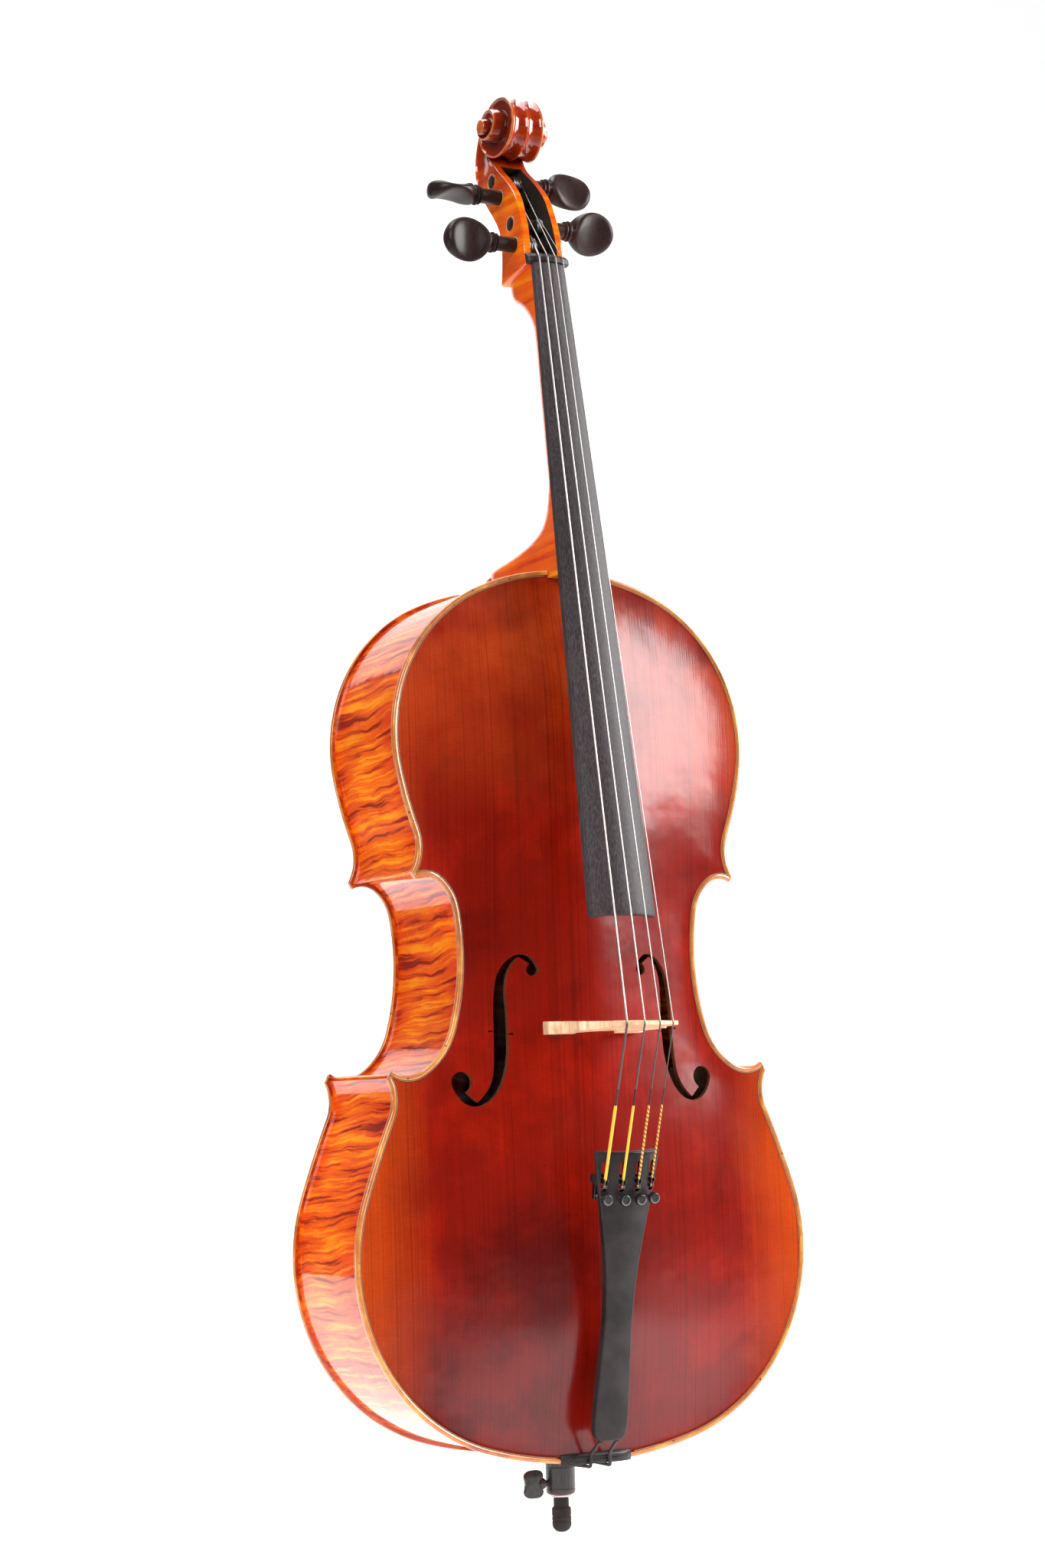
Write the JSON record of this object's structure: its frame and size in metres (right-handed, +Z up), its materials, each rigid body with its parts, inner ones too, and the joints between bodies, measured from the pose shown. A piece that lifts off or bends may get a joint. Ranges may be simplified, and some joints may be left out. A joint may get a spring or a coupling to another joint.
{
  "type": "cello",
  "caption": "Full-size cello with varnished arched body, carved scroll, ebony fingerboard, turning pegs, tailpiece with fine tuners and a sliding endpin.",
  "frame": {"origin": "the bottom of the endpin's rubber tip, on the endpin's axis, with the endpin slid in", "axes": "+Z up along the body towards the scroll, -Y out of the belly, +X towards the treble side"},
  "size_m": [0.4356, 0.2578, 1.2575],
  "materials": {
    "belly_spruce": "glossy red-brown oil varnish on fine-grained spruce",
    "back_maple": "glossy red-brown varnish on flamed maple",
    "rib_maple": "glossy amber varnish on flamed maple",
    "neck_maple": "glossy orange varnish on maple",
    "purfling": "black-stained strips inlaid flush",
    "inner_wood": "bare planed spruce and willow",
    "ebony": "satin ebony",
    "peg_black": "satin black-stained hardwood",
    "bridge_maple": "bare close-grained maple",
    "string_steel": "flat-wound steel",
    "silk": "wound silk thread, yellow and brown",
    "tail_black": "satin moulded composite",
    "tuner_black": "black enamel, polished rim",
    "tuner_steel": "dark nickel",
    "gut": "smooth nylon",
    "collar": "satin dark grey",
    "ring_metal": "satin nickel",
    "rod_steel": "polished steel tube",
    "tip_rubber": "moulded black rubber"
  },
  "bodies": {
    "root": {"belly": "belly_spruce", "back_plate": "back_maple", "purfling_belly": "purfling", "purfling_back": "purfling", "linings": "inner_wood", "corner_blocks": "inner_wood", "upper_block": "inner_wood", "lower_block": "inner_wood", "bass_bar": "inner_wood", "sound_post": "inner_wood", "saddle": "ebony", "neck": "neck_maple", "fingerboard": "ebony", "nut": "ebony", "bridge": "bridge_maple", "tail_silks": "silk", "tailpiece": "tail_black", "tuner_pins": "tuner_steel", "tailgut": "gut", "endpin_collar": "collar", "endpin_ring": "ring_metal", "rib_upper_bass": "rib_maple", "rib_upper_treble": "rib_maple", "rib_centre_bass": "rib_maple", "rib_centre_treble": "rib_maple", "rib_lower_bass": "rib_maple", "rib_lower_treble": "rib_maple", "string_c": "string_steel", "string_g": "string_steel", "string_d": "string_steel", "string_a": "string_steel"},
    "peg_c": {"peg_c": "peg_black", "coil_c": "string_steel"},
    "lever_c": {"tuner_lever_c": "tuner_steel"},
    "screw_c": {"tuner_screw_c": "tuner_steel"},
    "knob_c": {"tuner_knob_c": "tuner_black"},
    "peg_g": {"peg_g": "peg_black", "coil_g": "string_steel"},
    "lever_g": {"tuner_lever_g": "tuner_steel"},
    "screw_g": {"tuner_screw_g": "tuner_steel"},
    "knob_g": {"tuner_knob_g": "tuner_black"},
    "peg_d": {"peg_d": "peg_black", "coil_d": "string_steel"},
    "lever_d": {"tuner_lever_d": "tuner_steel"},
    "screw_d": {"tuner_screw_d": "tuner_steel"},
    "knob_d": {"tuner_knob_d": "tuner_black"},
    "peg_a": {"peg_a": "peg_black", "coil_a": "string_steel"},
    "lever_a": {"tuner_lever_a": "tuner_steel"},
    "screw_a": {"tuner_screw_a": "tuner_steel"},
    "knob_a": {"tuner_knob_a": "tuner_black"},
    "clamp_screw": {"endpin_screw": "collar"},
    "endpin": {"endpin_rod": "rod_steel", "endpin_tip": "tip_rubber"}
  },
  "joints": [
    {"name": "peg_c_turn", "type": "hinge", "parent": "root", "child": "peg_c", "pos_m": [0, -0.021, 1.113], "axis": [1, 0, 0], "range_deg": [-1350, 180]},
    {"name": "screw_c_travel", "type": "slide", "parent": "root", "child": "screw_c", "axis": [0, -0.9799, -0.1997], "range_m": [-0.00101, 0.00101]},
    {"name": "knob_c_turn", "type": "hinge", "parent": "screw_c", "child": "knob_c", "pos_m": [-0.0225, -0.12426, 0.28307], "axis": [0, -0.9799, -0.1997], "range_deg": [-720, 720]},
    {"name": "lever_c_tilt", "type": "hinge", "parent": "root", "child": "lever_c", "pos_m": [-0.0225, -0.11588, 0.29958], "axis": [1, 0, 0], "range_deg": [-4.1, 4.1]},
    {"name": "peg_g_turn", "type": "hinge", "parent": "root", "child": "peg_g", "pos_m": [0, 0.006, 1.1633], "axis": [1, 0, 0], "range_deg": [-1350, 180]},
    {"name": "screw_g_travel", "type": "slide", "parent": "root", "child": "screw_g", "axis": [0, -0.9799, -0.1997], "range_m": [-0.00101, 0.00101]},
    {"name": "knob_g_turn", "type": "hinge", "parent": "screw_g", "child": "knob_g", "pos_m": [-0.0075, -0.12783, 0.28235], "axis": [0, -0.9799, -0.1997], "range_deg": [-720, 720]},
    {"name": "lever_g_tilt", "type": "hinge", "parent": "root", "child": "lever_g", "pos_m": [-0.0075, -0.11945, 0.29885], "axis": [1, 0, 0], "range_deg": [-4.1, 4.1]},
    {"name": "peg_d_turn", "type": "hinge", "parent": "root", "child": "peg_d", "pos_m": [0, 0.02, 1.182], "axis": [1, 0, 0], "range_deg": [-1350, 180]},
    {"name": "screw_d_travel", "type": "slide", "parent": "root", "child": "screw_d", "axis": [0, -0.9799, -0.1997], "range_m": [-0.00101, 0.00101]},
    {"name": "knob_d_turn", "type": "hinge", "parent": "screw_d", "child": "knob_d", "pos_m": [0.0075, -0.12783, 0.28235], "axis": [0, -0.9799, -0.1997], "range_deg": [-720, 720]},
    {"name": "lever_d_tilt", "type": "hinge", "parent": "root", "child": "lever_d", "pos_m": [0.0075, -0.11945, 0.29885], "axis": [1, 0, 0], "range_deg": [-4.1, 4.1]},
    {"name": "peg_a_turn", "type": "hinge", "parent": "root", "child": "peg_a", "pos_m": [0, -0.014, 1.134], "axis": [1, 0, 0], "range_deg": [-1350, 180]},
    {"name": "screw_a_travel", "type": "slide", "parent": "root", "child": "screw_a", "axis": [0, -0.9799, -0.1997], "range_m": [-0.00101, 0.00101]},
    {"name": "knob_a_turn", "type": "hinge", "parent": "screw_a", "child": "knob_a", "pos_m": [0.0225, -0.12426, 0.28307], "axis": [0, -0.9799, -0.1997], "range_deg": [-720, 720]},
    {"name": "lever_a_tilt", "type": "hinge", "parent": "root", "child": "lever_a", "pos_m": [0.0225, -0.11588, 0.29958], "axis": [1, 0, 0], "range_deg": [-4.1, 4.1]},
    {"name": "clamp_screw_turn", "type": "hinge", "parent": "root", "child": "clamp_screw", "pos_m": [-0.02, 0, 0.0415], "axis": [-1, 0, 0], "range_deg": [-540, 0]},
    {"name": "endpin_slide", "type": "slide", "parent": "root", "child": "endpin", "axis": [0, 0, -1], "range_m": [0, 0.34]}
  ],
  "couplings": [
    {"joint": "screw_c_travel", "follows": "knob_c_turn", "m_per_rad": 0.000079577},
    {"joint": "lever_c_tilt", "follows": "knob_c_turn", "ratio": -0.0054881},
    {"joint": "screw_g_travel", "follows": "knob_g_turn", "m_per_rad": 0.000079577},
    {"joint": "lever_g_tilt", "follows": "knob_g_turn", "ratio": -0.0054881},
    {"joint": "screw_d_travel", "follows": "knob_d_turn", "m_per_rad": 0.000079577},
    {"joint": "lever_d_tilt", "follows": "knob_d_turn", "ratio": -0.0054881},
    {"joint": "screw_a_travel", "follows": "knob_a_turn", "m_per_rad": 0.000079577},
    {"joint": "lever_a_tilt", "follows": "knob_a_turn", "ratio": -0.0054881}
  ]
}
